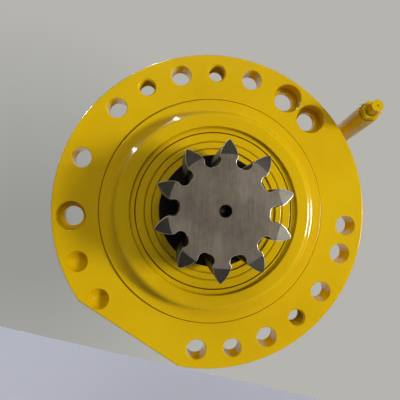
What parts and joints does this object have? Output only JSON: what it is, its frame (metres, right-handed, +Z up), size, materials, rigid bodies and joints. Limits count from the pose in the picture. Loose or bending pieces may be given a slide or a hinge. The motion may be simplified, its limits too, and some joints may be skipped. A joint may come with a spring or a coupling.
{
  "type": "swing motor",
  "caption": "Excavator swing drive: axial piston motor with brake, planetary reduction gearbox, drilled mounting flange and toothed drive pinion.",
  "frame": {"origin": "centre of the mounting flange's face, where the pilot step stands on it", "axes": "-Y out of the flange towards the pinion, +Y along the axis to the motor, +Z up as in the picture with the lifting hole at the top, +X to the right as in the picture"},
  "size_m": [0.4244, 0.696, 0.42],
  "materials": {
    "yellow_paint": "gloss",
    "painted_seal": "paint sprayed over the rubber",
    "pinion_steel": "dull",
    "gear_steel": "satin",
    "bearing_steel": "polished",
    "bolt_steel": "black oxide",
    "zinc_steel": "zinc plated",
    "carrier_iron": "machined",
    "bush_brass": "satin",
    "brake_lining": "matte",
    "seal_rubber": "matte"
  },
  "bodies": {
    "case": {"gear_case": "yellow_paint", "oil_seal": "painted_seal", "drain_pipe": "yellow_paint", "drain_plug": "yellow_paint", "front_bearing_outer": "bearing_steel", "rear_bearing_outer": "bearing_steel", "output_ring_gear": "yellow_paint", "input_ring_gear": "yellow_paint", "case_bolts": "bolt_steel", "motor_case": "yellow_paint", "valve_cover": "yellow_paint", "cover_bolts": "bolt_steel", "relief_valves": "zinc_steel", "port_plugs": "zinc_steel", "shaft_seal": "seal_rubber", "motor_bearing_outer": "bearing_steel", "tail_bearing_outer": "bearing_steel", "swash_plate": "carrier_iron", "valve_plate": "bush_brass", "brake_plates": "gear_steel", "brake_spring": "gear_steel", "gauge_pipe": "zinc_steel", "gauge_clamp": "zinc_steel", "breather": "zinc_steel"},
    "pinion": {"pinion_shaft": "pinion_steel", "seal_collar": "yellow_paint", "front_bearing_inner": "bearing_steel", "rear_bearing_inner": "bearing_steel", "shaft_nut": "gear_steel", "output_carrier": "carrier_iron", "output_planet_pins": "bearing_steel", "output_planet_bushes": "bush_brass"},
    "front_rollers": {"front_bearing_rollers": "bearing_steel"},
    "rear_rollers": {"rear_bearing_rollers": "bearing_steel"},
    "output_planet_top": {"output_planet_1": "gear_steel"},
    "output_planet_left": {"output_planet_2": "gear_steel"},
    "output_planet_right": {"output_planet_3": "gear_steel"},
    "middle_shaft": {"output_sun_gear": "gear_steel", "input_carrier": "carrier_iron", "input_planet_pins": "bearing_steel", "input_planet_bushes": "bush_brass"},
    "input_planet_top": {"input_planet_1": "gear_steel"},
    "input_planet_left": {"input_planet_2": "gear_steel"},
    "input_planet_right": {"input_planet_3": "gear_steel"},
    "rotor": {"motor_shaft": "gear_steel", "input_sun_gear": "gear_steel", "motor_bearing_inner": "bearing_steel", "tail_bearing_inner": "bearing_steel", "cylinder_block": "carrier_iron", "pistons": "bearing_steel", "brake_discs": "brake_lining"},
    "motor_rollers": {"motor_bearing_rollers": "bearing_steel"},
    "tail_rollers": {"tail_bearing_rollers": "bearing_steel"},
    "slippers": {"slipper_shoes": "bush_brass", "retainer_plate": "gear_steel"},
    "brake_ring": {"brake_piston": "carrier_iron"},
    "dipstick": {"dipstick": "zinc_steel"}
  },
  "joints": [
    {"name": "pinion_spin", "type": "hinge", "parent": "case", "child": "pinion", "pos_m": [0, 0, 0], "axis": [0, -1, 0], "continuous": true},
    {"name": "front_rollers_spin", "type": "hinge", "parent": "case", "child": "front_rollers", "pos_m": [0, 0, 0], "axis": [0, -1, 0], "continuous": true},
    {"name": "rear_rollers_spin", "type": "hinge", "parent": "case", "child": "rear_rollers", "pos_m": [0, 0, 0], "axis": [0, -1, 0], "continuous": true},
    {"name": "output_planet_top_spin", "type": "hinge", "parent": "pinion", "child": "output_planet_top", "pos_m": [0, 0.2, 0.081], "axis": [0, -1, 0], "continuous": true},
    {"name": "output_planet_left_spin", "type": "hinge", "parent": "pinion", "child": "output_planet_left", "pos_m": [-0.07015, 0.2, -0.0405], "axis": [0, -1, 0], "continuous": true},
    {"name": "output_planet_right_spin", "type": "hinge", "parent": "pinion", "child": "output_planet_right", "pos_m": [0.07015, 0.2, -0.0405], "axis": [0, -1, 0], "continuous": true},
    {"name": "middle_shaft_spin", "type": "hinge", "parent": "case", "child": "middle_shaft", "pos_m": [0, 0, 0], "axis": [0, -1, 0], "continuous": true},
    {"name": "input_planet_top_spin", "type": "hinge", "parent": "middle_shaft", "child": "input_planet_top", "pos_m": [0, 0.29, 0.0675], "axis": [0, -1, 0], "continuous": true},
    {"name": "input_planet_left_spin", "type": "hinge", "parent": "middle_shaft", "child": "input_planet_left", "pos_m": [-0.05846, 0.29, -0.03375], "axis": [0, -1, 0], "continuous": true},
    {"name": "input_planet_right_spin", "type": "hinge", "parent": "middle_shaft", "child": "input_planet_right", "pos_m": [0.05846, 0.29, -0.03375], "axis": [0, -1, 0], "continuous": true},
    {"name": "rotor_spin", "type": "hinge", "parent": "case", "child": "rotor", "pos_m": [0, 0, 0], "axis": [0, -1, 0], "continuous": true},
    {"name": "motor_rollers_spin", "type": "hinge", "parent": "case", "child": "motor_rollers", "pos_m": [0, 0, 0], "axis": [0, -1, 0], "continuous": true},
    {"name": "tail_rollers_spin", "type": "hinge", "parent": "case", "child": "tail_rollers", "pos_m": [0, 0, 0], "axis": [0, -1, 0], "continuous": true},
    {"name": "slippers_spin", "type": "hinge", "parent": "case", "child": "slippers", "pos_m": [0, 0.38, 0], "axis": [0, -0.9781, 0.2079], "continuous": true},
    {"name": "brake_release", "type": "slide", "parent": "case", "child": "brake_ring", "axis": [0, 1, 0], "range_m": [0, 0.0015], "stiffness_N_per_m": 200000, "deforming": ["brake_spring"]},
    {"name": "dipstick_slide", "type": "slide", "parent": "case", "child": "dipstick", "axis": [0, 1, 0], "range_m": [0, 0.25]}
  ],
  "couplings": [
    {"joint": "front_rollers_spin", "follows": "pinion_spin", "ratio": 0.4557},
    {"joint": "rear_rollers_spin", "follows": "pinion_spin", "ratio": 0.45205},
    {"joint": "output_planet_top_spin", "follows": "pinion_spin", "ratio": -3.25},
    {"joint": "output_planet_left_spin", "follows": "pinion_spin", "ratio": -3.25},
    {"joint": "output_planet_right_spin", "follows": "pinion_spin", "ratio": -3.25},
    {"joint": "middle_shaft_spin", "follows": "pinion_spin", "ratio": 3.6},
    {"joint": "input_planet_top_spin", "follows": "pinion_spin", "ratio": -10.08},
    {"joint": "input_planet_left_spin", "follows": "pinion_spin", "ratio": -10.08},
    {"joint": "input_planet_right_spin", "follows": "pinion_spin", "ratio": -10.08},
    {"joint": "rotor_spin", "follows": "pinion_spin", "ratio": 16.2},
    {"joint": "motor_rollers_spin", "follows": "pinion_spin", "ratio": 6.9429},
    {"joint": "tail_rollers_spin", "follows": "pinion_spin", "ratio": 7.3059},
    {"joint": "slippers_spin", "follows": "pinion_spin", "ratio": 16.2}
  ]
}
